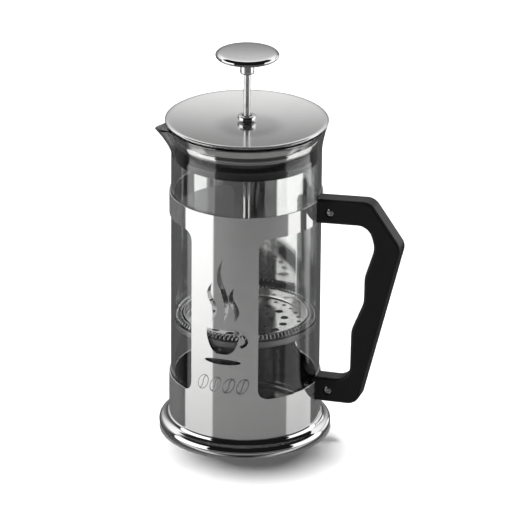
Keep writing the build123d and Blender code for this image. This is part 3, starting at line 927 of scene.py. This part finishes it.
def knob():
    """Button: nearly flat top, closely rounded rim and a shallow underside."""
    rim = KNOB_TOP - 2.0
    top = curve([(0, KNOB_TOP), (8, KNOB_TOP - 0.075), (16, KNOB_TOP - 0.3), (18.0, KNOB_TOP - 0.62),
                 (19.1, KNOB_TOP - 1.25), (KNOB_R, rim)], 9)
    under = curve([(KNOB_R, rim), (19.2, rim - 0.95), (17.6, rim - 1.8), (11.0, rim - 2.15),
                   (FERRULE_R + 0.4, KNOB_LOW), (0, KNOB_LOW)], 8)
    outline = np.concatenate([top, under[1:]])[::-1]
    return lathe("knob_lens", outline, "plunger", CHROME, ["knob_cap"], 160, closed=False)


def ferrule():
    """Turned ferrule under the knob with a chamfered lower edge and two fine grooves."""
    r, low, high = FERRULE_R, FERRULE_LOW, FERRULE_TOP
    depth, floor_half, mouth_half = 0.18, 0.1, 0.22
    grooves = []
    for z in (low + 1.9, high - 1.6):
        grooves += [(r, z - mouth_half), (r - depth, z - floor_half), (r - depth, z + floor_half),
                    (r, z + mouth_half)]
    corners = [(ROD_R, low), (r, low), *grooves, (r, high), (ROD_R, high)]
    outline = rounded(corners, [0.45] + [0] * len(grooves) + [0.1], 5)
    return lathe("knob_ferrule", outline, "plunger", CHROME, ["knob_insert"], 96)


def mesh_cup():
    """Disc of woven mesh with its edge turned up outside the coil."""
    wire, bore = 0.4, ROD_R + 0.1
    wall, floor = FILTER_R - wire, FILTER_LOW + wire
    corners = [(bore, FILTER_LOW), (FILTER_R, FILTER_LOW), (FILTER_R, FILTER_TOP),
               (wall, FILTER_TOP), (wall, floor), (bore, floor)]
    outline = rounded(corners, [1.2, 0.15, 0.15, 0.8], 6)
    return lathe("mesh_cup", outline, "plunger", MESH, ["filter_mesh"], 220)


def coil_spring():
    """Closed coil bent into a ring. Its wire's middle goes round the ring's own middle line at
    the tube's radius, as often as there are turns, while it goes once round the axis."""
    turns, per_turn, sides, wire = 104, 14, 6, 0.43
    half = (COIL_HIGH - COIL_LOW) / 2
    ring_r, tube_r = COIL_OUT - half, half - wire
    middle = (COIL_LOW + COIL_HIGH) / 2
    s = np.arange(turns * per_turn) * tau / (turns * per_turn)

    def centre(s):
        r = ring_r + tube_r * np.cos(turns * s)
        return np.stack([r * np.cos(s), r * np.sin(s), middle + tube_r * np.sin(turns * s)], 1)

    line = centre(s)
    along = centre(s + 1e-4) - centre(s - 1e-4)
    along /= np.linalg.norm(along, axis=1, keepdims=True)
    hub = np.stack([ring_r * np.cos(s), ring_r * np.sin(s), np.full_like(s, middle)], 1)
    side = line - hub
    side -= along * (side * along).sum(1, keepdims=True)
    side /= np.linalg.norm(side, axis=1, keepdims=True)
    other = np.cross(along, side)
    b = np.arange(sides) * tau / sides
    points = line[:, None] + wire * (side[:, None] * np.cos(b)[None, :, None]
                                     + other[:, None] * np.sin(b)[None, :, None])
    faces = grid_faces(len(s), sides, True, True)
    return put("coil_spring", points, faces, "plunger", CHROME, ["filter_coil"], sharp=80,
               face_out=True)


sleeve()
foot()
bottom_plate()
cushion()
handle()
screw_head("screw_heads", "handle_screws", -1, 0.7, 0.55, (0.5, 0.5 + pi / 2))
screw_head("nut_faces", "handle_nuts", 1, 0.35, 0.5, (0.2,))
beaker()
lid_dish()
lid_skirt()
splash_ring()
collar()
rod()
knob()
ferrule()
mesh_cup()
coil_spring()

plain_nodes = {
    SATIN: ["upper_lug", "lower_lug", "guide_nut", "filter_washer", "hub_nut"],
    FILTER: ["filter_dish", "cross_plate"],
    NYLON: ["guide_bush"],
}
for finish, nodes in plain_nodes.items():
    for node in nodes:
        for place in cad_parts[node].material_slots:
            place.material = finish


# Studio


CAMERA_TURN = 17.36  # degrees from -Y towards +X
CAMERA_PLACE = Vector((0.8420, -2.6934, 1.2930))
CAMERA_AIM = Vector((0.00596, 0.00186, 0.1141))
CAMERA_ROLL = 0.4526  # degrees


def studio():
    """What the metal mirrors, as brightness by direction: degrees of turn to the right of the
    camera's side, and height as the up part of the direction. A tall white panel stands on
    the left and one on the right, dimmer towards their feet, with two glows under them on the
    floor and a small panel at the right rear. Behind are a wall, dim below and bright above,
    and a grey table. In front are a grey card at the sleeve's height, which the hollow dims on
    its upper half, and two dim bands below it for the knob and the foot. The rest is a dark
    room. To the camera the world is white paper, and matt surfaces get a weak even light."""
    world = bpy.data.worlds.new("studio")
    bpy.context.scene.world = world
    n = Nodes(world)
    x, y, up = n.split(n.add("ShaderNodeTexCoord", output="Generated"))
    turn = n.angle(x, y * -1) * (180 / pi) - CAMERA_TURN
    turn = n.add("ShaderNodeMath", {"operation": "WRAP"}, {0: turn, 1: 180.0, 2: -180.0})
    reach_up = up.between(-0.55, 0.5, 0.05) * (up.rise(-0.43, -0.375) * 0.58 + 0.42)
    left = turn.between(-103, -50, 1.5) * reach_up
    right = turn.between(66, 119, 1.5) * reach_up
    glows = turn.between(-110, -78, 4) * 0.6 + turn.between(83, 119, 4) * 0.5
    feet = glows * up.between(-0.97, -0.6, 0.05)
    rear = turn.between(121, 150, 2) * up.between(-0.1, 0.3, 0.05)
    behind = turn.size().rise(95, 125)
    wall = behind * (up.rise(0.2, 0.62) + 0.22) * up.between(0.0, 0.68, 0.03)
    table = behind * (1 - up.rise(-0.08, 0.0)) * 0.085
    bands = up.between(-0.87, -0.64, 0.03) * 0.3 + up.between(-0.97, -0.87, 0.03) * 0.12
    front = (1 - behind) * bands
    hollow = turn.between(-25, 50, 25) * up.rise(-0.405, -0.38) * 0.5
    facing = turn.between(-50, 66, 1.5) * up.between(-0.5, -0.3, 0.04) * (1 - hollow) * 0.22
    light = left * 1.75 + right * 1.5 + feet + rear + wall + table + front + facing + 0.01
    ray = n.tree.nodes.new("ShaderNodeLightPath")
    seen, matt = Wire(n, ray.outputs["Is Camera Ray"]), Wire(n, ray.outputs["Is Diffuse Ray"])
    strength = light * (1 - matt) * (1 - seen) + matt * 0.06 + seen * 1.05
    n.output(n.add("ShaderNodeBackground", None, {"Color": (1, 1, 1, 1), "Strength": strength}),
             "ShaderNodeOutputWorld")


def floor():
    """White table. Mirrors and the glass show the studio in its place, so that both read well."""
    finish, n = new_finish("table_paper")
    tone = n.mixed(n.noise(30, 3.0), (0.93, 0.93, 0.93, 1), (0.95, 0.95, 0.95, 1))
    n.output(n.principled(base_color=tone, roughness=0.9, specular_ior_level=0.0))
    half = 20.0
    mesh = bpy.data.meshes.new("table_top")
    corners = [(-half, -half), (half, -half), (half, half), (-half, half)]
    mesh.from_pydata([(*corner, -0.0001) for corner in corners], [], [(0, 1, 2, 3)])
    table = placed("table_top", mesh)
    mesh.materials.append(finish)
    table.visible_glossy = table.visible_transmission = False


def aimed_light(name, kind, turn, elevation, distance, **settings):
    """Light aimed at the press, placed by its direction from the camera's side."""
    data = bpy.data.lights.new(name, kind)
    for key, value in settings.items():
        setattr(data, key, value)
    light = placed(name, data)
    a, e = radians(turn + CAMERA_TURN), radians(elevation)
    out = Vector((sin(a) * cos(e), -cos(a) * cos(e), sin(e)))
    light.location = Vector((0, 0, 0.1)) + out * distance
    light.rotation_euler = out.to_track_quat("Z", "Y").to_euler()
    light.visible_glossy = light.visible_transmission = False


def camera():
    """Long lens on the press, rolled a little."""
    data = bpy.data.cameras.new("camera")
    data.sensor_width, data.lens = 36, 347.25
    view = placed("camera", data)
    back = (CAMERA_PLACE - CAMERA_AIM).normalized()
    right = Vector((0, 0, 1)).cross(back).normalized()
    up = back.cross(right)
    roll = radians(CAMERA_ROLL)
    right, up = right * cos(roll) + up * sin(roll), up * cos(roll) - right * sin(roll)
    turn = Matrix((right, up, back)).transposed().to_4x4()
    view.matrix_world = Matrix.Translation(CAMERA_PLACE) @ turn
    bpy.context.scene.camera = view


camera()
studio()
floor()
aimed_light("overhead", "SUN", -168, 80, 2.0, energy=4.6, angle=radians(13))
aimed_light("front_fill", "AREA", -12, 1.5, 1.6, energy=9, shape="DISK", size=0.25)
bpy.context.scene.view_settings.view_transform = "Standard"

bpy.context.view_layer.update()
